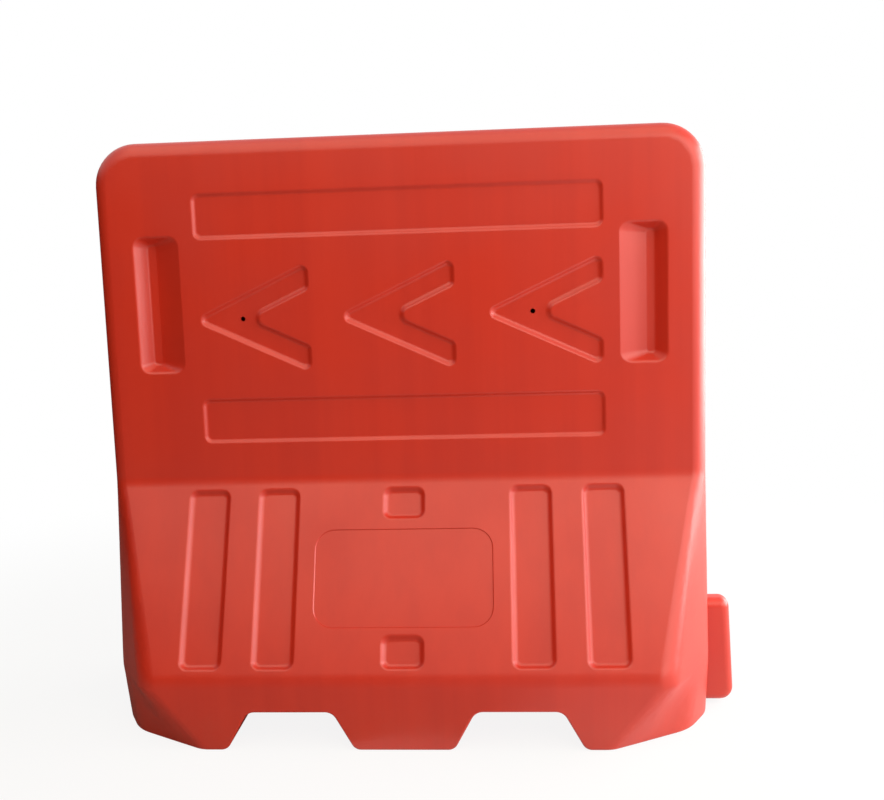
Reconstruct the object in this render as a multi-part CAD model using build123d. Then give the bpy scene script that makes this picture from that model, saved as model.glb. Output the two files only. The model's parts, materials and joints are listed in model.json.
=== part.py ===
from build123d import *
import os
from math import atan2, cos, hypot, pi, radians, sin, tan

# A hollow plastic safety barrier that stands on the road and is filled with water through its top.
# Millimetres. X runs along the barrier with the tongue at +X, the front faces -Y, Z is up and the
# origin is on the ground in the middle of the feet.

# Overall size
LENGTH = 1000.0
HEIGHT = 980.0
PANEL_THICKNESS = 120.0
BASE_DEPTH = 400.0
WALL = 5.0

# Body: upright panel above the waist, flared skirt down to the girth, upright foot band below it
WAIST_Z = 414.0
GIRTH_Z = 115.0
EDGE_R = 26.0
TOP_CORNER_R = 70.0
WAIST_R = 45.0
GIRTH_R = 60.0
CREASE_R = 45.0
END_EDGE_R = 60.0
END_FACET_RUN = 75.0
END_CORNER_DEPTH = 76.0
FOOT_END_GAP = 172.0
FOOT_CORNER_INSET = 40.0
FOOT_CORNER_DEPTH = 124.0
FOOT_END_DEPTH = 52.0
FOOT_CORNER_R = 90.0
FACET_SPLIT = radians(30)
CREASE_STEPS = 6
CORNER_POINTS = 17

# Fork notches between the feet
MIDDLE_FOOT_WIDTH = 160.0
END_FOOT_WIDTH = 40.0
NOTCH_HEIGHT = 63.0
NOTCH_SIDE_RUN = 35.0
NOTCH_CORNER_R = 20.0
FOOT_TIP_R = 17.0
FOOT_EDGE_R = 4.0

# Hand grips in the panel
GRIP_END_GAP = 63.5
GRIP_TOP_GAP = 154.5
GRIP_WIDTH = 76.0
GRIP_HEIGHT = 225.0
GRIP_DEPTH = 20.0
GRIP_FLOOR_WIDTH = 14.0
GRIP_OUTER_RUN = 18.0
GRIP_END_RUN = 12.0
GRIP_CORNER_R = 16.0
GRIP_FLOOR_CORNER_R = 6.9
GRIP_FLOOR_R = 5.5

# Strips and chevrons sunk in the panel
STRIP_GRIP_GAP = 26.0
STRIP_TOP_GAP = 86.5
STRIP_WAIST_GAP = 66.0
STRIP_HEIGHT = 74.0
STRIP_DEPTH = 4.5
STRIP_CORNER_R = 12.0
CHEVRON_COUNT = 3
CHEVRON_LENGTH = 197.0
CHEVRON_ARM = 97.0
CHEVRON_DEPTH = 6.0
CHEVRON_CORNER_R = 11.0
CHEVRON_STRIP_GAP = 41.25
CHEVRON_END_GAP = 1.5
CHEVRON_TIP_OVERHANG = 9.5
FIXING_HOLE_D = 8.0
FIXING_HOLE_BACK = 84.0

# Ribs, pockets and label field sunk in the sloped face of the skirt
RIB_END_GAP = 137.0
RIB_PITCH = 118.5
RIB_WIDTH = 69.0
RIB_TOP_GAP = 14.0
RIB_FOOT_GAP = 17.0
RIB_DEPTH = 6.5
RIB_CORNER_R = 14.0
POCKET_WIDTH = 69.0
POCKET_RISE = 48.0
POCKET_DEPTH = 6.5
POCKET_CORNER_R = 14.0
LABEL_RIB_GAP = 28.5
LABEL_TOP_GAP = 15.0
LABEL_FOOT_GAP = 11.0
LABEL_DEPTH = 1.5
LABEL_CORNER_R = 33.0

# Slope of the recess walls in degrees, and their fillets
PANEL_DRAFT = 44.0
RIB_DRAFT = 44.0
POCKET_DRAFT = 44.0
LABEL_DRAFT = 45.0
RECESS_FLOOR_R = 8.0
RECESS_MOUTH_R = 6.0
FILLET_SHARE = 0.45

# Tongue and groove that link one barrier to the next
TONGUE_REACH_TOP = 43.0
TONGUE_REACH_FOOT = 51.5
TONGUE_FOOT_GAP = 3.0
TONGUE_TOP_Z = 187.0
TONGUE_THICKNESS = 44.0
TONGUE_TOP_R = 16.0
TONGUE_FOOT_R = 22.0
TONGUE_EDGE_R = 15.0
TONGUE_ROOT = 40.0
TONGUE_ROOT_R = 3.0
LINK_CLEARANCE = 3.0
GROOVE_MOUTH_R = 4.0

# Filler in the middle of the top
FILL_BORE_D = 42.0
FILL_NECK_LENGTH = 22.0
FILL_FLANGE_T = 6.0
FILL_BAR_WIDTH = 10.0
FILL_BAR_HEIGHT = 10.0
FILL_SPIGOT_LENGTH = 15.0
FILL_FINGER_GAP = 5.0
FILL_SUNK = 5.0

# Drain low in the middle of the rear
DRAIN_Z = 44.0
DRAIN_BORE_D = 30.0
DRAIN_NECK_LENGTH = 20.0
DRAIN_FLANGE_T = 5.0
DRAIN_BAR_WIDTH = 8.0
DRAIN_BAR_HEIGHT = 8.0
DRAIN_SPIGOT_LENGTH = 12.0
DRAIN_FINGER_GAP = 10.0
DRAIN_SUNK = 2.0

# Shared by both closures
SEAL_T = 3.0
NECK_WALL = 5.0
FLANGE_LAND = 5.0
COLLAR_STEP = 3.0
COLLAR_HEIGHT = 6.0
NECK_SIDES = 8
SPIGOT_WALL = 4.0
THREAD_CLEARANCE = 0.3
INSERT_CLEARANCE = 0.3
CLOSURE_EDGE_R = 1.5
BAR_CORNER_R = 3.0
WELL_RIM_R = 1.5

# How far cutters run past a face, and how near counts as the same place
OVERCUT = 20.0
NEAR = 0.001

half_length = LENGTH / 2
half_panel = PANEL_THICKNESS / 2
half_base = BASE_DEPTH / 2
flare = half_base - half_panel
slope = atan2(flare, WAIST_Z - GIRTH_Z)
facet = atan2(half_base - END_CORNER_DEPTH, END_FACET_RUN)
waist_top = WAIST_Z + WAIST_R * tan(slope / 2)
girth_foot = GIRTH_Z - GIRTH_R * tan(slope / 2)
foot_x = half_length - FOOT_END_GAP

tongue_foot_z = TONGUE_ROOT_R + TONGUE_FOOT_GAP

notch_inner_x = MIDDLE_FOOT_WIDTH / 2
notch_outer_x = foot_x - END_FOOT_WIDTH

grip_x = half_length - GRIP_END_GAP - GRIP_WIDTH / 2
grip_z = HEIGHT - GRIP_TOP_GAP - GRIP_HEIGHT / 2

strip_end_x = grip_x - GRIP_WIDTH / 2 - STRIP_GRIP_GAP
upper_strip_z = HEIGHT - STRIP_TOP_GAP - STRIP_HEIGHT / 2
lower_strip_z = WAIST_Z + STRIP_WAIST_GAP + STRIP_HEIGHT / 2

chevron_z = (upper_strip_z + lower_strip_z) / 2
chevron_height = upper_strip_z - lower_strip_z - STRIP_HEIGHT - 2 * CHEVRON_STRIP_GAP
first_tip_x = -strip_end_x - CHEVRON_TIP_OVERHANG
last_tip_x = strip_end_x - CHEVRON_END_GAP - CHEVRON_LENGTH
chevron_pitch = (last_tip_x - first_tip_x) / (CHEVRON_COUNT - 1)

outer_rib_x = half_length - RIB_END_GAP - RIB_WIDTH / 2
inner_rib_x = outer_rib_x - RIB_PITCH
rib_top_z = WAIST_Z - RIB_TOP_GAP
rib_foot_z = GIRTH_Z + RIB_FOOT_GAP

label_width = 2 * (inner_rib_x - LABEL_RIB_GAP) - RIB_WIDTH
label_top_z = rib_top_z - POCKET_RISE - LABEL_TOP_GAP
label_foot_z = rib_foot_z + POCKET_RISE + LABEL_FOOT_GAP

panel_face = Plane(origin=(0, -half_panel, 0), x_dir=(1, 0, 0), z_dir=(0, -1, 0))
skirt_face = Plane(
    origin=(0, -(half_panel + half_base) / 2, (WAIST_Z + GIRTH_Z) / 2),
    x_dir=(1, 0, 0),
    z_dir=(0, -cos(slope), sin(slope)),
)


def on_skirt(z):
    """Distance up the sloped face, from its middle, of a point at height z."""
    return (z - skirt_face.origin.Z) / cos(slope)


def mix(first, second, share):
    """Numbers part of the way from one list to another."""
    return [a + (b - a) * share for a, b in zip(first, second)]


# Plan of one corner of the body at three heights: three turning points, each as x, y and radius


def waist_corner():
    turn_y = half_panel - EDGE_R + EDGE_R * tan((pi / 2 - facet) / 2)
    first_x = half_length - EDGE_R + EDGE_R * tan(FACET_SPLIT / 2)
    run = EDGE_R * (tan(FACET_SPLIT / 2) + tan((facet - FACET_SPLIT) / 2))
    second = [first_x + run * cos(FACET_SPLIT), half_panel - run * sin(FACET_SPLIT), EDGE_R]
    return [first_x, half_panel, EDGE_R, *second, half_length, turn_y, EDGE_R]


def girth_corner():
    corner_x = half_length - END_FACET_RUN
    back = CREASE_R * (tan(facet / 2) - tan(FACET_SPLIT / 2))
    on = CREASE_R * (tan(facet / 2) - tan((facet - FACET_SPLIT) / 2))
    second = [corner_x + on * cos(facet), half_base - on * sin(facet), CREASE_R]
    return [corner_x - back, half_base, CREASE_R, *second, half_length, END_CORNER_DEPTH, END_EDGE_R]


def ground_corner():
    second = [half_length - FOOT_CORNER_INSET, FOOT_CORNER_DEPTH, FOOT_CORNER_R]
    return [foot_x, half_base, CREASE_R, *second, half_length, FOOT_END_DEPTH, FOOT_CORNER_R]


def corner_path(corner):
    """Evenly spaced points on a rounded corner, each as x, y and its outward normal."""
    turns = [corner[i : i + 3] for i in (0, 3, 6)]
    headings = [0.0]
    for (xa, ya, _), (xb, yb, _) in zip(turns, turns[1:]):
        headings.append(atan2(ya - yb, xb - xa))
    headings.append(pi / 2)
    runs = []
    last = None
    for (x, y, radius), arriving, leaving in zip(turns, headings, headings[1:]):
        reach = radius * tan((leaving - arriving) / 2)
        start = (x - reach * cos(arriving), y + reach * sin(arriving))
        if last:
            runs.append((hypot(start[0] - last[0], start[1] - last[1]), last, arriving, None))
        runs.append((radius * (leaving - arriving), start, arriving, radius))
        last = (x + reach * cos(leaving), y - reach * sin(leaving))
    total = sum(run[0] for run in runs)
    return [path_point(runs, total * k / (CORNER_POINTS - 1)) for k in range(CORNER_POINTS)]


def path_point(runs, distance):
    """The point and normal at a distance along straight and round runs."""
    for length, (x, y), heading, radius in runs[:-1]:
        if distance <= length:
            break
        distance -= length
    else:
        length, (x, y), heading, radius = runs[-1]
    if radius is None:
        return x + distance * cos(heading), y - distance * sin(heading), sin(heading), cos(heading)
    turned = heading + distance / radius
    return (
        x + radius * (sin(turned) - sin(heading)),
        y + radius * (cos(turned) - cos(heading)),
        sin(turned),
        cos(turned),
    )


def plan_edges(z, corner, inset, round_corner):
    """Closed outline of the body at one height, moved inwards by inset, as eight edges."""
    path = [(x - inset * nx, y - inset * ny) for x, y, nx, ny in corner_path(corner)]
    (side_x, side_y), (end_x, end_y) = path[0], path[-1]

    def corner_edge(sx, sy):
        """One corner, drawn in the direction in which the outline runs round."""
        points = [Vector(sx * x, sy * y, z) for x, y in path]
        tangents = [Vector(sx, 0, 0), Vector(0, -sy, 0)]
        if sx == sy:
            points.reverse()
            tangents = [-tangents[1], -tangents[0]]
        if round_corner:
            return Edge.make_three_point_arc(points[0], points[CORNER_POINTS // 2], points[-1])
        tangents[0] *= (points[1] - points[0]).length
        tangents[1] *= (points[-1] - points[-2]).length
        return Edge.make_spline(points, tangents, parameters=range(CORNER_POINTS), scale=False)

    return [
        Edge.make_line((-side_x, -side_y, z), (side_x, -side_y, z)),
        corner_edge(1, -1),
        Edge.make_line((end_x, -end_y, z), (end_x, end_y, z)),
        corner_edge(1, 1),
        Edge.make_line((side_x, side_y, z), (-side_x, side_y, z)),
        corner_edge(-1, 1),
        Edge.make_line((-end_x, end_y, z), (-end_x, -end_y, z)),
        corner_edge(-1, -1),
    ]


def wall_between(lower, upper):
    """Straight-ruled face between two edges at different heights, flat where both are straight."""
    if lower.geom_type == GeomType.LINE:
        return Face(Wire.make_polygon([lower @ 0, lower @ 1, upper @ 1, upper @ 0]))
    return Face.make_surface_from_curves(lower, upper)


def skirt(inset):
    """Lower body, from the ground to the top of the rounded waist."""
    waist, girth, ground = waist_corner(), girth_corner(), ground_corner()
    steps = [slope * k / CREASE_STEPS for k in range(CREASE_STEPS + 1)]
    levels = [(waist_top - WAIST_R * sin(a), WAIST_R * (1 - cos(a))) for a in steps]
    levels += [(girth_foot + GIRTH_R * sin(a), flare - GIRTH_R * (1 - cos(a))) for a in reversed(steps)]
    outlines = [plan_edges(z, mix(waist, girth, out / flare), inset, out == 0) for z, out in levels]
    outlines.append(plan_edges(inset, mix(ground, girth, inset / girth_foot), inset, False))
    faces = [Face(Wire(outlines[0])), Face(Wire(outlines[-1]))]
    for upper, lower in zip(outlines, outlines[1:]):
        faces += [wall_between(a, b) for a, b in zip(lower, upper)]
    return Solid(Shell(faces))


def rounded_plate(outline, half_thickness, edge_r, kept_edge):
    """A plate in the XZ plane with its rim rounded front and rear, apart from the edges kept square."""
    plate = extrude(outline, half_thickness, both=True)
    rim = [e for e in plate.edges() if abs(abs(e.center().Y) - half_thickness) < NEAR]
    return fillet([e for e in rim if not kept_edge(e.center())], edge_r)


def panel(inset):
    """Upper body, from the top of the waist up."""
    top = HEIGHT - inset
    outline = Plane.XZ * Pos(0, (waist_top + top) / 2) * Rectangle(LENGTH - 2 * inset, top - waist_top)
    outline = fillet(outline.vertices().sort_by(Axis.Z)[-2:], TOP_CORNER_R - inset)
    return rounded_plate(
        outline, half_panel - inset, EDGE_R - inset, lambda place: place.Z < waist_top + NEAR
    )


def tongue(inset):
    """Tongue on the +X end, rooted inside the body."""
    root = half_length - TONGUE_ROOT
    foot, top = tongue_foot_z + inset, TONGUE_TOP_Z - inset
    outline = Plane.XZ * make_face(
        Polyline(
            (root, foot),
            (half_length + TONGUE_REACH_FOOT - inset, foot),
            (half_length + TONGUE_REACH_TOP - inset, top),
            (root, top),
            close=True,
        )
    )
    outer = outline.vertices().filter_by(lambda v: v.X > half_length).sort_by(Axis.Z)
    outline = fillet(outer[0], TONGUE_FOOT_R - inset)
    outer = outline.vertices().filter_by(lambda v: v.X > half_length).sort_by(Axis.Z)
    outline = fillet(outer[-1], TONGUE_TOP_R - inset)
    return rounded_plate(
        outline, TONGUE_THICKNESS / 2 - inset, TONGUE_EDGE_R - inset, lambda place: place.X < root + NEAR
    )


def notched_skirt():
    """Outside of the lower body with its feet parted by the fork notches, and every foot edge rounded."""
    solid = skirt(0) - [notch(side, 0) for side in (-1, 1)]
    tips = [e for f in solid.faces().group_by(Axis.Z)[0] for e in f.edges().filter_by(Axis.Y)]
    solid = fillet([e for e in tips if abs(e.center().X) < foot_x], FOOT_TIP_R)
    rims = [e for e in solid.edges() if abs(abs(e.center().Y) - half_base) < NEAR]
    rims = [e for e in rims if e.center().Z < NOTCH_HEIGHT + NEAR and abs(e.center().X) < foot_x]
    return fillet(rims, FOOT_EDGE_R)


def end_edges(solid, end_x, reach):
    """Edges in the flat end of the body, within reach of its middle and of the height of the tongue."""
    edges = [e for e in solid.edges() if abs(e.center().X - end_x) < NEAR and abs(e.center().Y) < reach]
    return [e for e in edges if e.center().Z < TONGUE_TOP_Z + reach]


def hull():
    """Outside of the whole body with its tongue, groove and feet, before anything is sunk in its faces."""
    reach = TONGUE_THICKNESS / 2 + NEAR
    solid = panel(0) + notched_skirt() + tongue(0)
    solid = fillet(end_edges(solid, half_length, reach), TONGUE_ROOT_R)
    solid -= groove(0)
    return fillet(end_edges(solid, -half_length, reach + LINK_CLEARANCE), GROOVE_MOUTH_R)


def cavity():
    """Inside of the whole body, before the walls of what is sunk in it are taken off."""
    return panel(WALL) + skirt(WALL) + tongue(WALL) - [notch(side, WALL) for side in (-1, 1)] - groove(WALL)


# Sunk features: each function gives the cutter at grow 0, and the room that its walls take at grow WALL


def fillet_limit(depth, draft):
    """Largest fillet at one end of a sloped wall that leaves room for another at its other end."""
    return FILLET_SHARE * depth / cos(radians(draft)) / tan(radians(90 - draft) / 2)


def recess(face, outline, depth, draft, grow, floor_r=RECESS_FLOOR_R):
    """Cutter for a recess with sloped walls, sunk into a flat face."""
    mouth = face * (offset(outline, grow / cos(radians(draft))) if grow else outline)
    inwards = -face.z_dir
    sunk = extrude(mouth, depth + grow, dir=inwards, taper=draft)
    if floor_r and not grow:
        floor = sunk.faces().sort_by(lambda f: f.center().dot(inwards))[-1]
        sunk = fillet(floor.edges(), min(floor_r, fillet_limit(depth, draft)))
    return sunk + extrude(mouth, OVERCUT, dir=face.z_dir)


def strip_outline(z):
    return Pos(0, z) * RectangleRounded(2 * strip_end_x, STRIP_HEIGHT, STRIP_CORNER_R)


def chevron_outline(tip_x):
    rise = chevron_height / 2
    inner_rise = rise * (1 - CHEVRON_ARM / CHEVRON_LENGTH)
    outline = make_face(
        Polyline(
            (0, 0),
            (CHEVRON_LENGTH, rise),
            (CHEVRON_LENGTH, inner_rise),
            (CHEVRON_ARM, 0),
            (CHEVRON_LENGTH, -inner_rise),
            (CHEVRON_LENGTH, -rise),
            close=True,
        )
    )
    return Pos(tip_x, chevron_z) * fillet(outline.vertices(), CHEVRON_CORNER_R)


def skirt_outline(x, foot_z, top_z, width, radius):
    foot, top = on_skirt(foot_z), on_skirt(top_z)
    return Pos(x, (foot + top) / 2) * RectangleRounded(width, top - foot, radius)


def grip(side, grow):
    """Cutter for one hand grip: steep outer wall, long slope on the inner side."""
    inner_run = GRIP_WIDTH - GRIP_FLOOR_WIDTH - GRIP_OUTER_RUN
    floor_x = grip_x + (inner_run - GRIP_OUTER_RUN) / 2
    floor_height = GRIP_HEIGHT - 2 * GRIP_END_RUN
    mouth = RectangleRounded(GRIP_WIDTH + 2 * grow, GRIP_HEIGHT + 2 * grow, GRIP_CORNER_R + grow)
    floor_r = GRIP_FLOOR_CORNER_R + grow
    floor = RectangleRounded(GRIP_FLOOR_WIDTH + 2 * grow, floor_height + 2 * grow, floor_r)
    mouth = panel_face * Pos(side * grip_x, grip_z) * mouth
    floor = panel_face * Pos(side * floor_x, grip_z, -GRIP_DEPTH - grow) * floor
    sunk = loft([mouth, floor], ruled=True)
    if not grow:
        bottom = sunk.faces().sort_by(Axis.Y)[-1]
        sunk = fillet(bottom.edges(), GRIP_FLOOR_R)
    return sunk + extrude(mouth, OVERCUT, dir=panel_face.z_dir)


def front_recesses(grow):
    strips = [strip_outline(z) for z in (upper_strip_z, lower_strip_z)]
    cutters = [recess(panel_face, s, STRIP_DEPTH, PANEL_DRAFT, grow) for s in strips]
    chevrons = [chevron_outline(first_tip_x + k * chevron_pitch) for k in range(CHEVRON_COUNT)]
    cutters += [recess(panel_face, c, CHEVRON_DEPTH, PANEL_DRAFT, grow) for c in chevrons]
    cutters += [grip(side, grow) for side in (-1, 1)]
    for x in (-outer_rib_x, -inner_rib_x, inner_rib_x, outer_rib_x):
        rib = skirt_outline(x, rib_foot_z, rib_top_z, RIB_WIDTH, RIB_CORNER_R)
        cutters.append(recess(skirt_face, rib, RIB_DEPTH, RIB_DRAFT, grow))
    for foot_z in (rib_foot_z, rib_top_z - POCKET_RISE):
        pocket = skirt_outline(0, foot_z, foot_z + POCKET_RISE, POCKET_WIDTH, POCKET_CORNER_R)
        cutters.append(recess(skirt_face, pocket, POCKET_DEPTH, POCKET_DRAFT, grow))
    return cutters


def notch(side, grow):
    """Cutter for the fork notch on one side of the middle foot, right through from front to rear."""
    foot = (notch_outer_x - notch_inner_x) / 2 + grow
    height = NOTCH_HEIGHT + grow
    top = foot - NOTCH_SIDE_RUN * height / NOTCH_HEIGHT
    spread = NOTCH_SIDE_RUN / NOTCH_HEIGHT * OVERCUT
    outline = make_face(
        Polyline(
            (-foot - spread, -OVERCUT),
            (foot + spread, -OVERCUT),
            (top, height),
            (-top, height),
            close=True,
        )
    )
    outline = fillet(outline.vertices().sort_by(Axis.Y)[-2:], NOTCH_CORNER_R + grow)
    middle = (notch_inner_x + notch_outer_x) / 2
    return extrude(Plane.XZ * Pos(side * middle, 0) * outline, half_base + OVERCUT, both=True)


def groove(grow):
    """Cutter for the groove in the -X end, which drops over the next barrier's tongue."""
    spare = LINK_CLEARANCE + grow
    depth = TONGUE_REACH_FOOT + spare
    width = TONGUE_THICKNESS + 2 * spare
    height = TONGUE_TOP_Z + spare
    block = Pos(-half_length, 0, (height - OVERCUT) / 2) * Box(2 * depth, width, height + OVERCUT)
    inner = [e for e in block.edges() if e.center().X > -half_length and e.center().Z > 0]
    return fillet(inner, TONGUE_EDGE_R)


class Closure:
    """One filler or drain: moulded-in neck, ring seal and screw plug, sunk in a round well.

    Drawn with the axis on Z, the seat at height 0 and the outside upwards.
    """

    def __init__(
        self, bore_d, neck_length, flange_t, bar_width, bar_height, spigot_length, finger_gap, sunk
    ):
        self.bore_d = bore_d
        self.neck_d = bore_d + 2 * NECK_WALL
        self.collar_d = self.neck_d + 2 * COLLAR_STEP
        self.neck_length = neck_length
        self.flange_d = bore_d + 2 * FLANGE_LAND
        self.flange_t = flange_t
        self.bar_width = bar_width
        self.bar_height = bar_height
        self.spigot_length = spigot_length
        self.well_d = self.flange_d + 2 * finger_gap
        self.well_depth = SEAL_T + flange_t + bar_height + sunk

    def well(self):
        height = self.well_depth + OVERCUT
        return Pos(0, 0, height / 2) * Cylinder(self.well_d / 2, height)

    def boss(self):
        """Room that the moulded walls of the well and around the neck take up."""
        around_well = Cylinder(self.well_d / 2 + WALL, self.well_depth + WALL + OVERCUT)
        around_well = Pos(0, 0, (self.well_depth + OVERCUT - WALL) / 2) * around_well
        corner_r = self.collar_d / 2 / cos(pi / NECK_SIDES)
        around_neck = Cylinder(corner_r + WALL, self.neck_length + self.well_depth)
        return around_well + Pos(0, 0, (self.well_depth - self.neck_length) / 2) * around_neck

    def neck_blank(self, spare=0.0):
        """Outside of the neck, or of its seat with spare room: a sleeve with one locking collar.

        Both have flats, so that the neck can't turn in the plastic.
        """
        sleeve = RegularPolygon(self.neck_d / 2 + spare, NECK_SIDES, major_radius=False)
        collar = RegularPolygon(self.collar_d / 2 + spare, NECK_SIDES, major_radius=False)
        blank = extrude(sleeve, self.neck_length / 2, both=True)
        blank += extrude(collar, COLLAR_HEIGHT / 2 + spare, both=True)
        return Pos(0, 0, -self.neck_length / 2) * blank

    def neck(self):
        bore = Cylinder(self.bore_d / 2, self.neck_length)
        return self.neck_blank() - Pos(0, 0, -self.neck_length / 2) * bore

    def seal(self):
        ring = Cylinder(self.flange_d / 2 - THREAD_CLEARANCE, SEAL_T) - Cylinder(self.bore_d / 2, SEAL_T)
        return Pos(0, 0, SEAL_T / 2) * ring

    def plug(self):
        """Flange with a turning bar on top and a hollow threaded spigot below."""
        flange = Cylinder(self.flange_d / 2, self.flange_t)
        flange = fillet(flange.edges().sort_by(Axis.Z)[-1], CLOSURE_EDGE_R)
        bar = Box(self.flange_d - 2 * self.bar_width, self.bar_width, self.bar_height)
        bar = fillet(bar.edges().filter_by(Axis.Z), BAR_CORNER_R)
        bar = fillet(bar.faces().sort_by(Axis.Z)[-1].edges(), CLOSURE_EDGE_R)
        radius = self.bore_d / 2 - THREAD_CLEARANCE
        reach = SEAL_T + self.spigot_length
        spigot = Cylinder(radius, reach) - Cylinder(radius - SPIGOT_WALL, reach)
        top = SEAL_T + self.flange_t
        plug = Pos(0, 0, SEAL_T + self.flange_t / 2) * flange
        plug += Pos(0, 0, top + self.bar_height / 2) * bar
        return plug + Pos(0, 0, SEAL_T - reach / 2) * spigot


filler = Closure(
    FILL_BORE_D,
    FILL_NECK_LENGTH,
    FILL_FLANGE_T,
    FILL_BAR_WIDTH,
    FILL_BAR_HEIGHT,
    FILL_SPIGOT_LENGTH,
    FILL_FINGER_GAP,
    FILL_SUNK,
)
drain = Closure(
    DRAIN_BORE_D,
    DRAIN_NECK_LENGTH,
    DRAIN_FLANGE_T,
    DRAIN_BAR_WIDTH,
    DRAIN_BAR_HEIGHT,
    DRAIN_SPIGOT_LENGTH,
    DRAIN_FINGER_GAP,
    DRAIN_SUNK,
)
filler_seat = Pos(0, 0, HEIGHT - filler.well_depth)
drain_seat = Pos(0, half_base - drain.well_depth, DRAIN_Z) * Rot(-90, 0, 0)
closures = ((filler_seat, filler), (drain_seat, drain))


def both_faces(cutters):
    return cutters + [Rot(0, 0, 180) * c for c in cutters]


def mouth_edges(solid):
    """Rims of the recesses in the four large flat faces."""
    normals = [panel_face.z_dir, skirt_face.z_dir]
    normals += [Vector(n.X, -n.Y, n.Z) for n in normals]
    rims = []
    for face in solid.faces().filter_by(GeomType.PLANE):
        if face.inner_wires() and any((face.normal_at() - n).length < NEAR for n in normals):
            rims += [e for wire in face.inner_wires() for e in wire.edges()]
    return rims


def fixing_holes():
    """Two drilled holes in the front, in the floors of the first and last chevron."""
    axis = Rot(90, 0, 0) * Cylinder(FIXING_HOLE_D / 2, half_panel)
    return [Pos(x + FIXING_HOLE_BACK, -half_panel, chevron_z) * axis for x in (first_tip_x, last_tip_x)]


def label_field():
    """Shallow bare field for a label in the middle of the front skirt."""
    outline = skirt_outline(0, label_foot_z, label_top_z, label_width, LABEL_CORNER_R)
    return recess(skirt_face, outline, LABEL_DEPTH, LABEL_DRAFT, 0, floor_r=0)


def well_rims(solid):
    """Round edges where the wells open in the top and in the rear."""
    mouths = [(seat * Pos(0, 0, closure.well_depth)).position for seat, closure in closures]
    circles = solid.edges().filter_by(GeomType.CIRCLE)
    return [e for e in circles if any((e.arc_center - mouth).length < NEAR for mouth in mouths)]


def barrier_shell():
    limits = [fillet_limit(depth, PANEL_DRAFT) for depth in (STRIP_DEPTH, CHEVRON_DEPTH)]
    limits += [fillet_limit(RIB_DEPTH, RIB_DRAFT), fillet_limit(POCKET_DEPTH, POCKET_DRAFT)]
    outside = hull() - both_faces(front_recesses(0))
    outside = fillet(mouth_edges(outside), min(RECESS_MOUTH_R, *limits))
    outside = outside - label_field() - [seat * closure.well() for seat, closure in closures]
    outside = fillet(well_rims(outside), WELL_RIM_R)
    inside = cavity() - both_faces(front_recesses(WALL))
    inside -= [seat * closure.boss() for seat, closure in closures]
    shell = outside - inside - fixing_holes()
    return shell - [seat * closure.neck_blank(INSERT_CLEARANCE) for seat, closure in closures]


def export(name, solid):
    export_step(solid, os.path.join("parts", name + ".step"))


if __name__ == "__main__":
    os.makedirs("parts", exist_ok=True)
    export("barrier_shell", barrier_shell())
    export("fill_neck", filler_seat * filler.neck())
    export("fill_seal", filler_seat * filler.seal())
    export("fill_cap", filler_seat * filler.plug())
    export("drain_bush", drain_seat * drain.neck())
    export("drain_seal", drain_seat * drain.seal())
    export("drain_plug", drain_seat * drain.plug())
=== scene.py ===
"""Looks of a water-filled plastic road barrier, built around its packed CAD model.

Metres. X runs along the barrier with the tongue at +X, the front faces -Y and Z is up.
"""

import json
import math

import bmesh
import bpy
from bpy.props import FloatProperty, FloatVectorProperty, IntProperty, PointerProperty
from bpy.types import Operator, Panel, PropertyGroup
from mathutils import Matrix, Vector


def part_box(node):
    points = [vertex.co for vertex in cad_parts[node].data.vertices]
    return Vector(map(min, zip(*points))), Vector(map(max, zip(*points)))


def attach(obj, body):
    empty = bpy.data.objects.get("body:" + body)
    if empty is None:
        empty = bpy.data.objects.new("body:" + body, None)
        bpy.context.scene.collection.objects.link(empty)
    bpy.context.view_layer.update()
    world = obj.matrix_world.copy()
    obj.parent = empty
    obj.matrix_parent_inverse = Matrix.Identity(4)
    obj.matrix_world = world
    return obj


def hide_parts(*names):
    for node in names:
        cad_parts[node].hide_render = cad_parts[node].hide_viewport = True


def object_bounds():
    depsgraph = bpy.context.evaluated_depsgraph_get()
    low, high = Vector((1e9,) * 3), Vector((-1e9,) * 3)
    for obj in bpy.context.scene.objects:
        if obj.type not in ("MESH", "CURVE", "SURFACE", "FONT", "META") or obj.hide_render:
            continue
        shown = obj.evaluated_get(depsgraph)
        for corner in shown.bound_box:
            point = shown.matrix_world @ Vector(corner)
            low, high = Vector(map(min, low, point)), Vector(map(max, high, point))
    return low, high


bl_info = {
    "name": "Water-Filled Road Barrier",
    "version": (1, 0, 0),
    "blender": (4, 5, 0),
    "location": "View3D > Sidebar > Barrier",
    "description": "Dresses the packed barrier, builds its closures and sets up its studio",
    "category": "Object",
}

MM = 0.001
IMAGE_WIDTH = 884

# Edges that turn by more than this stay sharp in the shading
SHARP_ANGLE = math.radians(40)
# Corners of the CAD mesh that are closer than this are one
WELD_DISTANCE = 0.01 * MM

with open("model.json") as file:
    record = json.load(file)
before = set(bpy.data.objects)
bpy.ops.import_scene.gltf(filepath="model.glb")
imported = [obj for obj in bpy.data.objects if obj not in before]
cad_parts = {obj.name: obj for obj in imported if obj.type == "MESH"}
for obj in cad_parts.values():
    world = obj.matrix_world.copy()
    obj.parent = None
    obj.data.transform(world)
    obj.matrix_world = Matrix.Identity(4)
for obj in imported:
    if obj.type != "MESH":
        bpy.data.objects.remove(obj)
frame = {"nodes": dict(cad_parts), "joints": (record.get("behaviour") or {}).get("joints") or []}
cad_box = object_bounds()
joints = {joint["name"]: joint for joint in frame["joints"]}


def linear(hex_colour):
    """Linear RGBA of an sRGB colour written as RRGGBB."""
    channels = [int(hex_colour[i : i + 2], 16) / 255 for i in (0, 2, 4)]
    return [c / 12.92 if c <= 0.04045 else ((c + 0.055) / 1.055) ** 2.4 for c in channels] + [1.0]


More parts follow.
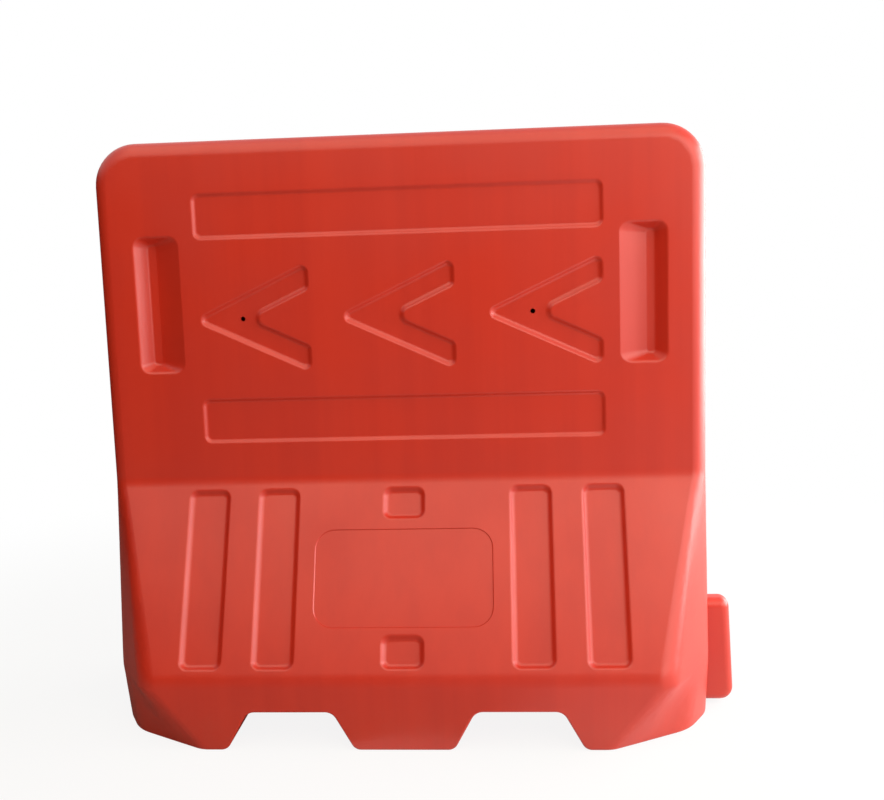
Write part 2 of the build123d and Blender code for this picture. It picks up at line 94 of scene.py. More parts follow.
def colour_property(name, description, hex_colour):
    return FloatVectorProperty(
        name=name,
        description=description,
        subtype="COLOR",
        size=4,
        min=0.0,
        max=1.0,
        default=linear(hex_colour),
    )


def length_property(name, description, default):
    return FloatProperty(
        name=name, description=description, default=default, min=0.0, unit="LENGTH", precision=4
    )


def angle_property(name, description, degrees):
    return FloatProperty(
        name=name, description=description, default=math.radians(degrees), subtype="ANGLE"
    )


class ShellFinish(PropertyGroup):
    """Finish of the rotomoulded body."""

    colour: colour_property("Colour", "Pigment of the body", "C82F1A")
    dark_colour: colour_property("Dark Colour", "Pigment where the powder melted last", "C02A17")
    dust_colour: colour_property("Dust Colour", "Road dust on the feet", "8C6A58")
    streak_width: length_property("Streak Width", "Width of the upright flow streaks", 40 * MM)
    streak_length: length_property("Streak Length", "Length of the upright flow streaks", 1.6)
    blotch_size: length_property("Blotch Size", "Size of the paler and darker clouds", 170 * MM)
    wave_size: length_property("Wave Size", "Size of the shrinkage waves in the flat walls", 230 * MM)
    wave_height: length_property("Wave Height", "Height of the shrinkage waves", 1.1 * MM)
    dust_height: length_property("Dust Height", "How far up the feet the dust reaches", 110 * MM)


class ClosureFinish(PropertyGroup):
    """Finish and fine sizes that the filler cap and the drain plug share."""

    plastic_colour: colour_property("Plastic Colour", "Cap, plug and necks", "232426")
    rubber_colour: colour_property("Rubber Colour", "Ring seals", "191919")
    thread_depth: length_property("Thread Depth", "Depth of the screw threads", 1.4 * MM)
    flute_depth: length_property("Flute Depth", "Depth of the finger flutes in the rims", 0.7 * MM)
    flute_count: IntProperty(
        name="Flute Count", description="Finger flutes round a rim", default=36, min=3
    )
    edge_radius: length_property("Edge Radius", "Rounding of moulded edges", 1.2 * MM)


class FillerSizes(PropertyGroup):
    """Sizes of the filler cap that its box does not give."""

    flange: length_property("Flange", "Thickness of the flange", 6 * MM)
    bar: length_property("Bar", "Width and height of the turning bar", 10 * MM)


class DrainSizes(PropertyGroup):
    """Sizes of the drain plug that its box does not give."""

    flange: length_property("Flange", "Thickness of the flange", 5 * MM)
    bar: length_property("Bar", "Width and height of the turning bar", 8 * MM)


class StudioSettings(PropertyGroup):
    """Camera, floor, felt flags and background."""

    camera_place: FloatVectorProperty(
        name="Camera Place",
        description="Where the camera stands",
        subtype="TRANSLATION",
        unit="LENGTH",
        default=(0.2018, -1.855, 0.7879),
    )
    camera_heading: FloatProperty(
        name="Camera Heading",
        description="Turn of the camera from the barrier's front towards +X",
        subtype="ANGLE",
        default=-0.0747,
    )
    camera_tilt: FloatProperty(
        name="Camera Tilt",
        description="Tilt of the camera above the horizon",
        subtype="ANGLE",
        default=-0.1344,
    )
    camera_roll: FloatProperty(
        name="Camera Roll",
        description="Roll of the camera about its own axis",
        subtype="ANGLE",
        default=-0.0323,
    )
    focal_pixels: FloatProperty(
        name="Focal Length in Pixels",
        description="Focal length in pixels of the photograph's width",
        default=1100.0,
        min=1.0,
    )
    floor_colour: colour_property("Floor Colour", "Pale studio paper", "E6E5E2")
    floor_radius: length_property("Floor Radius", "Radius of the floor", 30.0)
    floor_glow: FloatProperty(
        name="Floor Glow",
        description="Share of plain white that the camera sees in the floor under the barrier",
        subtype="FACTOR",
        default=0.88,
        min=0.0,
        max=1.0,
    )
    fade_start: length_property("Fade Start", "Where the floor starts to fade into white", 0.7)
    fade_end: length_property("Fade End", "Where the floor is plain white", 2.0)
    sky_level: FloatProperty(
        name="Sky Level", description="Strength of the even light from all round", default=0.3, min=0.0
    )
    flag_colour: colour_property("Flag Colour", "Black felt that hangs round the barrier", "0A0A0A")
    flag_distance: length_property("Flag Distance", "Distance of the hung felt from the barrier", 2.6)
    flag_height: length_property("Flag Height", "Height of the hung felt", 1.6)
    flag_start: angle_property("Flag Start", "Turn from the front towards -X where the felt starts", -25)
    flag_end: angle_property("Flag End", "Turn from the front towards -X where all felt ends", 170)
    apron_colour: colour_property("Apron Colour", "Grey felt on the floor", "7A7A7A")
    apron_distance: length_property("Apron Distance", "Distance of the grey felt on the floor", 0.25)
    apron_start: angle_property("Apron Start", "Turn from the front towards -X where it starts", -25)


def lamp_settings(name, use, colour, power, width, tall, distance, heading, height):
    """Settings of one soft lamp that is aimed at the middle of the barrier."""
    fields = {
        "colour": colour_property("Colour", "Colour of the light", colour),
        "power": FloatProperty(
            name="Power", description=f"Power of the lamp that {use}", unit="POWER", default=power, min=0.0
        ),
        "width": length_property("Width", "Width of the lamp", width),
        "tall": length_property("Tall", "Height of the lamp's face", tall),
        "distance": length_property("Distance", "Distance from the middle of the barrier", distance),
        "heading": angle_property("Heading", "Turn from the barrier's front towards +X", heading),
        "height": angle_property("Height", "Angle above the horizon", height),
    }
    return type(name, (PropertyGroup,), {"__doc__": f"Soft lamp that {use}.", "__annotations__": fields})


KeyLamp = lamp_settings(
    "KeyLamp", "models the front from the right", "FFF8EC", 62.0, 3.4, 2.2, 3.4, 47, 22
)
TopLamp = lamp_settings(
    "TopLamp", "lays a warm sheen on the sloped skirt", "FFE9C4", 44.0, 3.0, 3.6, 2.6, -4, 55
)
WindowLamp = lamp_settings(
    "WindowLamp", "draws the edges that face right", "FFFFFF", 84.0, 2.5, 1.6, 2.2, 104, 11
)


# Materials


def add(tree, kind, inputs=None, **settings):
    """Adds a node, sets its options and fills or links its inputs."""
    node = tree.nodes.new(kind)
    for option, value in settings.items():
        setattr(node, option, value)
    for socket, value in (inputs or {}).items():
        if isinstance(value, bpy.types.NodeSocket):
            tree.links.new(value, node.inputs[socket])
        else:
            node.inputs[socket].default_value = value
    return node


def new_material(name):
    """A material with an empty node tree."""
    material = bpy.data.materials.new(name)
    material.use_nodes = True
    material.node_tree.nodes.clear()
    return material, material.node_tree


def rotomoulded_polyethylene(finish):
    """Linear polyethylene powder, melted in a turning mould and dyed through.

    The eye sees an even satin red with faint upright streaks and clouds, walls that the shrinkage has
    left slightly wavy, a fine peel and a trace of road dust on the feet.
    """
    speck_size, dust_share = 18 * MM, 0.12
    peel_size, peel_height = 4 * MM, 0.03 * MM
    # Polyethylene has about 1.51, and a little more gives its waxy sheen here
    sheen_index = 1.6
    material, tree = new_material("rotomoulded_polyethylene")
    place = add(tree, "ShaderNodeTexCoord").outputs["Object"]
    axes = add(tree, "ShaderNodeSeparateXYZ", {"Vector": place})

    across, along = 1 / finish.streak_width, 1 / finish.streak_length
    stretched = add(tree, "ShaderNodeMapping", {"Vector": place, "Scale": (across, across, along)})
    streaks = add(
        tree,
        "ShaderNodeTexNoise",
        {"Vector": stretched.outputs["Vector"], "Scale": 1.0, "Detail": 3.0, "Roughness": 0.6},
    )
    clouds = add(
        tree,
        "ShaderNodeTexNoise",
        {"Vector": place, "Scale": 1 / finish.blotch_size, "Detail": 2.0},
    )
    both = add(
        tree,
        "ShaderNodeMath",
        {0: streaks.outputs["Fac"], 1: clouds.outputs["Fac"]},
        operation="ADD",
    )
    darkness = add(
        tree,
        "ShaderNodeMapRange",
        {"Value": both.outputs["Value"], "From Min": 0.75, "From Max": 1.3},
        interpolation_type="SMOOTHSTEP",
    )
    pigment = add(
        tree,
        "ShaderNodeMix",
        {0: darkness.outputs["Result"], 6: finish.colour, 7: finish.dark_colour},
        data_type="RGBA",
    )

    specks = add(
        tree, "ShaderNodeTexNoise", {"Vector": place, "Scale": 1 / speck_size, "Detail": 5.0}
    )
    low = add(
        tree,
        "ShaderNodeMapRange",
        {"Value": axes.outputs["Z"], "From Min": finish.dust_height, "From Max": 0.0},
        interpolation_type="SMOOTHSTEP",
    )
    dusty = add(
        tree,
        "ShaderNodeMath",
        {0: low.outputs["Result"], 1: specks.outputs["Fac"]},
        operation="MULTIPLY",
    )
    dust = add(
        tree, "ShaderNodeMath", {0: dusty.outputs["Value"], 1: dust_share}, operation="MULTIPLY"
    )
    colour = add(
        tree,
        "ShaderNodeMix",
        {0: dust.outputs["Value"], 6: pigment.outputs[2], 7: finish.dust_colour},
        data_type="RGBA",
    )

    roughness = add(
        tree,
        "ShaderNodeMapRange",
        {"Value": clouds.outputs["Fac"], "From Min": 0.3, "From Max": 0.7, "To Min": 0.34, "To Max": 0.42},
    )

    # Shrinkage waves in the flat walls
    wave = add(
        tree, "ShaderNodeTexNoise", {"Vector": place, "Scale": 1 / finish.wave_size, "Detail": 1.0}
    )
    waved = add(
        tree,
        "ShaderNodeBump",
        {"Height": wave.outputs["Fac"], "Strength": 1.0, "Distance": finish.wave_height},
    )
    # The real peel is about 1 mm across, too fine for the render, so it is drawn at 4 mm
    peel = add(tree, "ShaderNodeTexNoise", {"Vector": place, "Scale": 1 / peel_size, "Detail": 2.0})
    peeled = add(
        tree,
        "ShaderNodeBump",
        {
            "Height": peel.outputs["Fac"],
            "Strength": 1.0,
            "Distance": peel_height,
            "Normal": waved.outputs["Normal"],
        },
    )
    skin = add(
        tree,
        "ShaderNodeBsdfPrincipled",
        {
            "Base Color": colour.outputs[2],
            "Roughness": roughness.outputs["Result"],
            "IOR": sheen_index,
            "Normal": peeled.outputs["Normal"],
        },
    )
    add(tree, "ShaderNodeOutputMaterial", {"Surface": skin.outputs["BSDF"]})
    return material


def injection_moulded_polypropylene(finish):
    """Black polypropylene from a spark-eroded steel mould.

    The eye sees a dark satin with a fine even grain, and dull dust where it lies level.
    """
    cloud_size, grain_size, grain_height = 9 * MM, 0.8 * MM, 0.03 * MM
    material, tree = new_material("injection_moulded_polypropylene")
    place = add(tree, "ShaderNodeTexCoord").outputs["Object"]
    facing = add(tree, "ShaderNodeNewGeometry").outputs["Normal"]
    upward = add(tree, "ShaderNodeSeparateXYZ", {"Vector": facing}).outputs["Z"]
    clouds = add(
        tree, "ShaderNodeTexNoise", {"Vector": place, "Scale": 1 / cloud_size, "Detail": 4.0}
    )
    level = add(
        tree,
        "ShaderNodeMapRange",
        {"Value": upward, "From Min": 0.6, "From Max": 1.0, "To Max": 0.16},
    )
    dust = add(
        tree,
        "ShaderNodeMath",
        {0: level.outputs["Result"], 1: clouds.outputs["Fac"]},
        operation="MULTIPLY",
    )
    colour = add(
        tree,
        "ShaderNodeMix",
        {0: dust.outputs["Value"], 6: finish.plastic_colour, 7: linear("A89C90")},
        data_type="RGBA",
    )
    roughness = add(
        tree,
        "ShaderNodeMapRange",
        {"Value": clouds.outputs["Fac"], "To Min": 0.38, "To Max": 0.56},
    )
    # The spark grain is about 0.1 mm, too fine for the render, so it is drawn at 0.8 mm
    grain = add(
        tree, "ShaderNodeTexNoise", {"Vector": place, "Scale": 1 / grain_size, "Detail": 2.0}
    )
    grained = add(
        tree,
        "ShaderNodeBump",
        {"Height": grain.outputs["Fac"], "Strength": 1.0, "Distance": grain_height},
    )
    skin = add(
        tree,
        "ShaderNodeBsdfPrincipled",
        {
            "Base Color": colour.outputs[2],
            "Roughness": roughness.outputs["Result"],
            "IOR": 1.49,
            "Normal": grained.outputs["Normal"],
        },
    )
    add(tree, "ShaderNodeOutputMaterial", {"Surface": skin.outputs["BSDF"]})
    return material


def cut_rubber(finish):
    """Ethylene-propylene rubber, cut from a sheet.

    The eye sees a dull near-black with pale patches of bloom.
    """
    bloom_size = 6 * MM
    material, tree = new_material("cut_ethylene_propylene_rubber")
    place = add(tree, "ShaderNodeTexCoord").outputs["Object"]
    bloom = add(
        tree, "ShaderNodeTexNoise", {"Vector": place, "Scale": 1 / bloom_size, "Detail": 3.0}
    )
    share = add(
        tree,
        "ShaderNodeMapRange",
        {"Value": bloom.outputs["Fac"], "From Min": 0.45, "From Max": 0.75, "To Max": 0.3},
    )
    colour = add(
        tree,
        "ShaderNodeMix",
        {0: share.outputs["Result"], 6: finish.rubber_colour, 7: linear("4A4A48")},
        data_type="RGBA",
    )
    skin = add(
        tree,
        "ShaderNodeBsdfPrincipled",
        {"Base Color": colour.outputs[2], "Roughness": 0.78, "IOR": 1.52},
    )
    add(tree, "ShaderNodeOutputMaterial", {"Surface": skin.outputs["BSDF"]})
    return material


def studio_paper(studio):
    """Pale matt paper, which the camera sees lifted towards white with the shadow left in it."""
    material, tree = new_material("matt_studio_paper")
    place = add(tree, "ShaderNodeTexCoord").outputs["Object"]
    away = add(tree, "ShaderNodeVectorMath", {0: place}, operation="LENGTH")
    lift = add(
        tree,
        "ShaderNodeMapRange",
        {
            "Value": away.outputs["Value"],
            "From Min": studio.fade_start,
            "From Max": studio.fade_end,
            "To Min": studio.floor_glow,
            "To Max": 1.0,
        },
        interpolation_type="SMOOTHSTEP",
    )
    share = add(
        tree,
        "ShaderNodeMath",
        {0: seen_rays(tree), 1: lift.outputs["Result"]},
        operation="MULTIPLY",
    )
    paper = add(tree, "ShaderNodeBsdfDiffuse", {"Color": studio.floor_colour})
    glow = add(tree, "ShaderNodeEmission", {"Color": linear("FFFFFF"), "Strength": 1.0})
    mixed = add(
        tree,
        "ShaderNodeMixShader",
        {0: share.outputs["Value"], 1: paper.outputs["BSDF"], 2: glow.outputs["Emission"]},
    )
    add(tree, "ShaderNodeOutputMaterial", {"Surface": mixed.outputs["Shader"]})
    return material


def flag_cloth(colour):
    """Dark felt, which takes the sheen off what it faces."""
    material, tree = new_material("pressed_wool_felt")
    cloth = add(tree, "ShaderNodeBsdfDiffuse", {"Color": colour})
    add(tree, "ShaderNodeOutputMaterial", {"Surface": cloth.outputs["BSDF"]})
    return material


def seen_rays(tree):
    """One for rays that show the background itself: from the camera, in gloss and through glass."""
    path = add(tree, "ShaderNodeLightPath").outputs
    pair = add(
        tree,
        "ShaderNodeMath",
        {0: path["Is Camera Ray"], 1: path["Is Glossy Ray"]},
        operation="MAXIMUM",
    )
    three = add(
        tree,
        "ShaderNodeMath",
        {0: pair.outputs["Value"], 1: path["Is Transmission Ray"]},
        operation="MAXIMUM",
    )
    return three.outputs["Value"]


# Meshes


def make_piece(name, shape, place, material, body, node):
    """An object from a bmesh, smooth but for its sharp edges, that stands for one CAD node."""
    bmesh.ops.recalc_face_normals(shape, faces=shape.faces)
    for face in shape.faces:
        face.smooth = True
    for edge in shape.edges:
        edge.smooth = edge.is_manifold and edge.calc_face_angle() < SHARP_ANGLE
    mesh = bpy.data.meshes.new(name)
    shape.to_mesh(mesh)
    shape.free()
    # Normals that came with the CAD mesh give way to the weighted ones
    if "custom_normal" in mesh.attributes:
        mesh.attributes.remove(mesh.attributes["custom_normal"])
    mesh.materials.clear()
    mesh.materials.append(material)
    piece = bpy.data.objects.new(name, mesh)
    bpy.context.scene.collection.objects.link(piece)
    piece.matrix_world = place
    normals = piece.modifiers.new("even_normals", "WEIGHTED_NORMAL")
    normals.keep_sharp = True
    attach(piece, body)
    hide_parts(node)
    return piece


def skin_rings(shape, rings, wrapped=False):
    """Quads between neighbouring rings of points, closed by the first ring or by a face at each end."""
    loops = [[shape.verts.new(point) for point in ring] for ring in rings]
    pairs = list(zip(loops, loops[1:]))
    if wrapped:
        pairs.append((loops[-1], loops[0]))
    else:
        shape.faces.new(loops[0])
        shape.faces.new(loops[-1])
    for low, high in pairs:
        for i in range(len(low)):
            j = (i + 1) % len(low)
            shape.faces.new((low[i], low[j], high[j], high[i]))


class Turning:
    """Rings spun about Z, with a screw thread or finger flutes cut into some of them."""

    points_per_flute = 6
    steps_round_edge = 4
    rings_per_pitch = 12
    # Shares of the pitch: half the groove's mouth, its flank and the run-out at each end of the thread
    half_mouth, flank, run_out = 0.36, 0.14, 1 / 3

    def __init__(self, finish, pitch, hand_in):
        self.finish = finish
        self.pitch = pitch
        self.hand_in = hand_in
        self.steps = finish.flute_count * self.points_per_flute
        self.rings = []

    def ring(self, radius, height, cut=None):
        """One ring; cut gives how much radius is taken away at an angle and height."""
        points = []
        for k in range(self.steps):
            angle = 2 * math.pi * k / self.steps
            r = radius - cut(angle, height) if cut else radius
            points.append(Vector((r * math.cos(angle), r * math.sin(angle), height)))
        self.rings.append(points)

    def rounded(self, radius, height, size, start, end, cut=None):
        """Rings round an edge of the given centre, from one angle of the profile to another."""
        for k in range(self.steps_round_edge + 1):
            turn = start + (end - start) * k / self.steps_round_edge
            self.ring(radius + size * math.cos(turn), height + size * math.sin(turn), cut)

    def thread(self, radius, start, end):
        """Rings of a trapezoid thread between two heights, running out at both ends."""
        count = max(2, round(abs(end - start) / (self.pitch / self.rings_per_pitch)))
        low, high = min(start, end), max(start, end)
        fade = self.pitch * self.run_out

        def cut(angle, height):
            phase = (height / self.pitch - angle / (2 * math.pi)) % 1.0
            groove = min(1.0, max(0.0, (self.half_mouth - abs(phase - 0.5)) / self.flank))
            ends = min(1.0, (height - low) / fade, (high - height) / fade)
            return self.hand_in * self.finish.thread_depth * groove * max(0.0, ends)

        for k in range(count + 1):
            self.ring(radius, start + (end - start) * k / count, cut)


def flats(corner_r, sides=8):
    """Cut that gives a ring flat sides, with a corner on X."""
    half = math.pi / sides
    return lambda angle, height: corner_r * (1 - math.cos(half) / math.cos(angle % (2 * half) - half))


def flutes(finish):
    """Cut of the finger flutes at an angle round a rim."""

    def cut(angle, height):
        wave = 0.5 - 0.5 * math.cos(finish.flute_count * angle)
        return finish.flute_depth * wave**2

    return cut


def rounded_bar(half_length, half_width, corner, height, steps=8):
    """Outline of a bar with rounded corners at one height."""
    points = []
    for quarter, (sx, sy) in enumerate(((1, 1), (-1, 1), (-1, -1), (1, -1))):
        for k in range(steps + 1):
            angle = (quarter + k / steps) * math.pi / 2
            x = sx * (half_length - corner) + corner * math.cos(angle)
            y = sy * (half_width - corner) + corner * math.sin(angle)
            points.append(Vector((x, y, height)))
    return points


class Closure:
    """Sizes of one neck, seal and screw plug, read from their boxes, with the seat at height 0."""

    # Width of the seat between the bore and the rim of the flange
    land = 5 * MM

    def __init__(self, neck, seal, plug, turn, lift, outward):
        self.nodes = neck, seal, plug
        along = 2 if outward.z else 1
        low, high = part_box(seal)
        seat = (low + high) / 2
        seat[along] = low[along]
        self.place = Matrix.Translation(seat) @ outward.to_track_quat("Z", "X").to_matrix().to_4x4()
        self.seal_height = high[along] - low[along]
        self.seal_r = (high.x - low.x) / 2
        low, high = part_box(plug)
        self.flange_r = (high.x - low.x) / 2
        self.bore_r = self.flange_r - self.land
        self.top = high[along] - seat[along]
        self.foot = low[along] - seat[along]
        low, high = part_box(neck)
        self.collar_r = (high.x - low.x) / 2
        self.neck_foot = low[along] - seat[along]
        turns = (joints[turn]["range_deg"][1] - joints[turn]["range_deg"][0]) / 360
        self.pitch = (joints[lift]["range_m"][1] - joints[lift]["range_m"][0]) / turns


def neck_shape(closure, finish):
    """Sleeve with flats and a locking collar outside and a screw thread inside."""
    collar, collar_rise, lead = 3 * MM, 3.3 * MM, 1 * MM
    collar_r = closure.collar_r
    sleeve_r = collar_r - collar_rise
    middle = closure.neck_foot / 2
    shape = bmesh.new()
    turning = Turning(finish, closure.pitch, -1)
    turning.ring(closure.bore_r + lead, 0.0)
    turning.thread(closure.bore_r, -lead, closure.neck_foot + lead)
    turning.ring(closure.bore_r + lead, closure.neck_foot)
    for radius, height in (
        (sleeve_r, closure.neck_foot),
        (sleeve_r, middle - collar),
        (collar_r, middle - collar),
        (collar_r, middle + collar),
        (sleeve_r, middle + collar),
        (sleeve_r, 0.0),
    ):
        turning.ring(radius, height, flats(radius))
    skin_rings(shape, turning.rings, wrapped=True)
    return shape


def seal_shape(closure, finish):
    """Flat ring with rounded edges."""
    size = 0.8 * MM
    shape = bmesh.new()
    turning = Turning(finish, closure.pitch, 1)
    inner, outer = closure.bore_r + size, closure.seal_r - size
    low, high = size, closure.seal_height - size
    quarter = math.pi / 2
    turning.rounded(outer, low, size, -quarter, 0.0)
    turning.rounded(outer, high, size, 0.0, quarter)
    turning.rounded(inner, high, size, quarter, 2 * quarter)
    turning.rounded(inner, low, size, 2 * quarter, 3 * quarter)
    skin_rings(shape, turning.rings, wrapped=True)
    return shape


def plug_shape(closure, finish, sizes):
    """Fluted flange with a turning bar on top and a hollow threaded spigot below."""
    clearance, wall, lead, hollow_end = 0.3 * MM, 4 * MM, 1.2 * MM, 1 * MM
    ring_inset, ring_width, ring_depth = 3.2 * MM, 2.4 * MM, 0.4 * MM
    fillet, corner, sunk = 0.8 * MM, 3 * MM, 0.2 * MM
    radius = finish.edge_radius
    under, over = closure.seal_height, closure.seal_height + sizes.flange
    spigot_r = closure.bore_r - clearance
    quarter = math.pi / 2
    cut = flutes(finish)
    shape = bmesh.new()
    turning = Turning(finish, closure.pitch, 1)
    turning.ring(spigot_r - wall, under + hollow_end)
    turning.ring(spigot_r - wall, closure.foot)
    turning.ring(spigot_r - lead, closure.foot)
    turning.thread(spigot_r, closure.foot + lead, under - lead)
    turning.ring(spigot_r, under)
    turning.rounded(closure.flange_r - 0.5 * radius, under + 0.5 * radius, 0.5 * radius, -quarter, 0.0, cut)
    turning.rounded(closure.flange_r - radius, over - radius, radius, 0.0, quarter, cut)
    ring_r = closure.flange_r - ring_inset
    for step, drop in (
        (0.0, 0.0),
        (ring_depth, ring_depth),
        (ring_width - ring_depth, ring_depth),
        (ring_width, 0.0),
    ):
        turning.ring(ring_r - step, over - drop)
    skin_rings(shape, turning.rings)

    half_length, half_width = closure.flange_r - sizes.bar, sizes.bar / 2
    levels = [(over - sunk, fillet)]
    levels += [
        (over + fillet * (1 - math.cos(a)), fillet * (1 - math.sin(a))) for a in steps_to(quarter, 4)
    ]
    levels += [
        (closure.top - radius * (1 - math.sin(a)), radius * (math.cos(a) - 1)) for a in steps_to(quarter, 5)
    ]
    rings = [rounded_bar(half_length + o, half_width + o, corner + o, z) for z, o in levels]
    skin_rings(shape, rings)
    return shape


def steps_to(end, count):
    """Evenly spaced values from nothing to the end."""
    return [end * k / count for k in range(count + 1)]


def build_closure(closure, sizes, bodies, names):
    """Neck, seal and plug as three pieces on their bodies."""
    finish = bpy.context.scene.barrier_closures
    plastic = bpy.data.materials.get("injection_moulded_polypropylene")
    plastic = plastic or injection_moulded_polypropylene(finish)
    rubber = bpy.data.materials.get("cut_ethylene_propylene_rubber") or cut_rubber(finish)
    looks = (
        (neck_shape(closure, finish), plastic, "neck_plastic"),
        (seal_shape(closure, finish), rubber, "seal_rubber"),
        (plug_shape(closure, finish, sizes), plastic, "cap_plastic"),
    )
    for name, body, node, (shape, material, slot) in zip(names, bodies, closure.nodes, looks):
        make_piece(name, shape, closure.place, material, body, node)


# Operators


class DressShell(Operator):
    """Give the body an even-shaded skin of rotomoulded plastic"""

    bl_idname = "barrier.dress_shell"
    bl_label = "Dress Shell"
    bl_options = {"REGISTER", "UNDO"}

    def execute(self, context):
        material = rotomoulded_polyethylene(context.scene.barrier_shell)
        shape = bmesh.new()
        shape.from_mesh(frame["nodes"]["barrier_shell"].data)
        bmesh.ops.remove_doubles(shape, verts=shape.verts, dist=WELD_DISTANCE)
        make_piece(
            "moulded_body", shape, Matrix.Identity(4), material, "barrier", "barrier_shell"
        )
        return {"FINISHED"}


class BuildFiller(Operator):
    """Build the filler's neck, seal and screw cap"""

    bl_idname = "barrier.build_filler"
    bl_label = "Build Filler"
    bl_options = {"REGISTER", "UNDO"}

    def execute(self, context):
        closure = Closure("fill_neck", "fill_seal", "fill_cap", "cap_turn", "cap_lift", Vector((0, 0, 1)))
        names = "filler_neck", "filler_seal_ring", "filler_screw_cap"
        build_closure(closure, context.scene.barrier_filler, ("barrier", "cap_ring", "cap"), names)
        return {"FINISHED"}


class BuildDrain(Operator):
    """Build the drain's bush, seal and screw plug"""

    bl_idname = "barrier.build_drain"
    bl_label = "Build Drain"
    bl_options = {"REGISTER", "UNDO"}

    def execute(self, context):
        closure = Closure(
            "drain_bush", "drain_seal", "drain_plug", "plug_turn", "plug_draw", Vector((0, 1, 0))
        )
        names = "drain_threaded_bush", "drain_seal_ring", "drain_screw_plug"
        build_closure(closure, context.scene.barrier_drain, ("barrier", "plug_ring", "plug"), names)
        return {"FINISHED"}


class SetStage(Operator):
    """Lay the floor and set the camera, the lamps, the felt flags and the even light"""

    bl_idname = "barrier.set_stage"
    bl_label = "Set Stage"
    bl_options = {"REGISTER", "UNDO"}

    def execute(self, context):
        scene = context.scene
        studio = scene.barrier_studio
        scene.view_settings.view_transform = "Standard"
        lay_floor(scene, studio)
        light_world(scene, studio)
        for name in ("key_lamp", "top_lamp", "window_lamp"):
            hang_lamp(scene, name, getattr(scene, "barrier_" + name))
        hang_flags(scene, studio)
        set_camera(scene, studio)
        return {"FINISHED"}


def stage_object(scene, name, shape, material):
    """An object of the studio from a bmesh, which is no part of the barrier."""
    mesh = bpy.data.meshes.new(name)
    shape.to_mesh(mesh)
    shape.free()
    mesh.materials.append(material)
    thing = bpy.data.objects.new(name, mesh)
    scene.collection.objects.link(thing)
    return thing


def lay_floor(scene, studio):
    """A round sheet of paper under the barrier."""
    shape = bmesh.new()
    bmesh.ops.create_circle(shape, cap_ends=True, segments=96, radius=studio.floor_radius)
    stage_object(scene, "floor", shape, studio_paper(studio))


def hang_flags(scene, studio):
    """Dark felt, unseen by the camera, that hangs round the front and left and lies on the floor there.

    It keeps the white of the studio out of the panel and the left edges.
    """
    reach, near = studio.flag_distance, studio.apron_distance
    lift = 2 * MM
    rails = {
        "hung_flag": (studio.flag_colour, studio.flag_start, (reach, 0.0), (reach, studio.flag_height)),
        "floor_flag": (studio.apron_colour, studio.apron_start, (near, lift), (reach, lift)),
    }
    for name, (colour, start, first, second) in rails.items():
        shape = bmesh.new()
        spread_cloth(shape, start, studio.flag_end, first, second)
        flag = stage_object(scene, name, shape, flag_cloth(colour))
        flag.visible_camera = False
        flag.visible_shadow = False
        # The felt on the floor shows in gloss alone, so the paper under it keeps its light
        flag.visible_diffuse = name == "hung_flag"


def spread_cloth(shape, start, end, first, second, columns=48):
    """A strip round the barrier between two rails, each given by its distance and height."""
    low, high = cad_box
    middle = (low + high) / 2
    rails = []
    for distance, height in (first, second):
        turns = [start + (end - start) * k / columns for k in range(columns + 1)]
        points = [(-distance * math.sin(t), -distance * math.cos(t)) for t in turns]
        rails.append([shape.verts.new((middle.x + x, middle.y + y, height)) for x, y in points])
    foot, top = rails
    for k in range(columns):
        shape.faces.new((foot[k], foot[k + 1], top[k + 1], top[k]))


def light_world(scene, studio):
    """Even light from all round, which the camera and gloss see as plain white."""
    world = bpy.data.worlds.new("white_studio")
    world.use_nodes = True
    tree = world.node_tree
    tree.nodes.clear()
    strength = add(
        tree,
        "ShaderNodeMapRange",
        {"Value": seen_rays(tree), "To Min": studio.sky_level, "To Max": 1.0},
    )
    sky = add(
        tree,
        "ShaderNodeBackground",
        {"Color": linear("FFFFFF"), "Strength": strength.outputs["Result"]},
    )
    add(tree, "ShaderNodeOutputWorld", {"Surface": sky.outputs["Background"]})
    scene.world = world


def hang_lamp(scene, name, settings):
    """A soft lamp, unseen by the camera, aimed at the middle of the barrier."""
    low, high = cad_box
    heading, height = settings.heading, settings.height
    towards = Vector(
        (
            math.sin(heading) * math.cos(height),
            -math.cos(heading) * math.cos(height),
            math.sin(height),
        )
    )
    data = bpy.data.lights.new(name, "AREA")
    data.shape = "RECTANGLE"
    data.size = settings.width
    data.size_y = settings.tall
    data.energy = settings.power
    data.color = settings.colour[:3]
    lamp = bpy.data.objects.new(name, data)
    scene.collection.objects.link(lamp)
    lamp.location = (low + high) / 2 + towards * settings.distance
    lamp.rotation_euler = (-towards).to_track_quat("-Z", "Y").to_euler()
    lamp.visible_camera = False


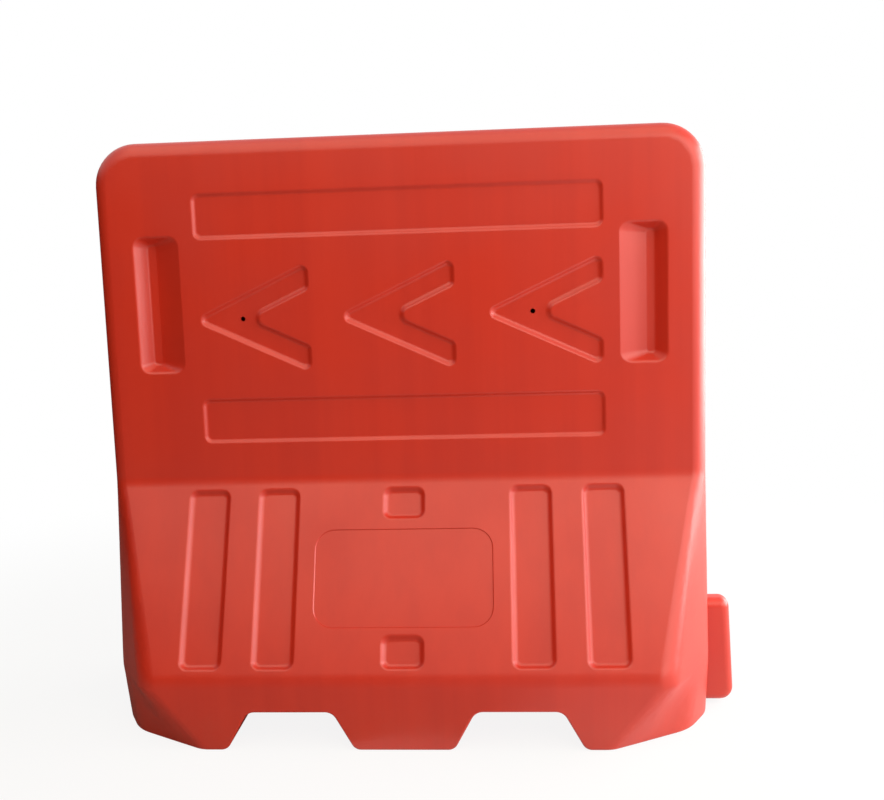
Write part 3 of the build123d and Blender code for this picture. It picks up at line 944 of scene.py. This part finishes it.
def set_camera(scene, studio):
    """The camera of the photograph, from its place, turns and focal length."""
    data = bpy.data.cameras.new("photo_camera")
    data.lens = studio.focal_pixels / IMAGE_WIDTH * data.sensor_width
    camera = bpy.data.objects.new("photo_camera", data)
    scene.collection.objects.link(camera)
    turn = (
        Matrix.Rotation(-studio.camera_heading, 4, "Z")
        @ Matrix.Rotation(math.pi / 2 + studio.camera_tilt, 4, "X")
        @ Matrix.Rotation(studio.camera_roll, 4, "Z")
    )
    camera.matrix_world = Matrix.Translation(studio.camera_place) @ turn
    scene.camera = camera


class BarrierPanel(Panel):
    """Lists the steps that dress the barrier"""

    bl_idname = "VIEW3D_PT_barrier"
    bl_label = "Road Barrier"
    bl_space_type = "VIEW_3D"
    bl_region_type = "UI"
    bl_category = "Barrier"

    def draw(self, context):
        for step in STEPS:
            self.layout.operator(step.bl_idname)
        for group in SETTINGS:
            box = self.layout.box()
            settings = getattr(context.scene, group)
            for name in settings.__annotations__:
                box.prop(settings, name)


STEPS = (DressShell, BuildFiller, BuildDrain, SetStage)
SETTINGS = {
    "barrier_shell": ShellFinish,
    "barrier_closures": ClosureFinish,
    "barrier_filler": FillerSizes,
    "barrier_drain": DrainSizes,
    "barrier_studio": StudioSettings,
    "barrier_key_lamp": KeyLamp,
    "barrier_top_lamp": TopLamp,
    "barrier_window_lamp": WindowLamp,
}


def register():
    for group in SETTINGS.values():
        bpy.utils.register_class(group)
    for name, group in SETTINGS.items():
        setattr(bpy.types.Scene, name, PointerProperty(type=group))
    for step in STEPS:
        bpy.utils.register_class(step)
    bpy.utils.register_class(BarrierPanel)


def unregister():
    bpy.utils.unregister_class(BarrierPanel)
    for step in reversed(STEPS):
        bpy.utils.unregister_class(step)
    for name, group in reversed(SETTINGS.items()):
        delattr(bpy.types.Scene, name)
        bpy.utils.unregister_class(group)


def main():
    register()
    bpy.ops.barrier.dress_shell()
    bpy.ops.barrier.build_filler()
    bpy.ops.barrier.build_drain()
    bpy.ops.barrier.set_stage()


if __name__ == "__main__":
    main()
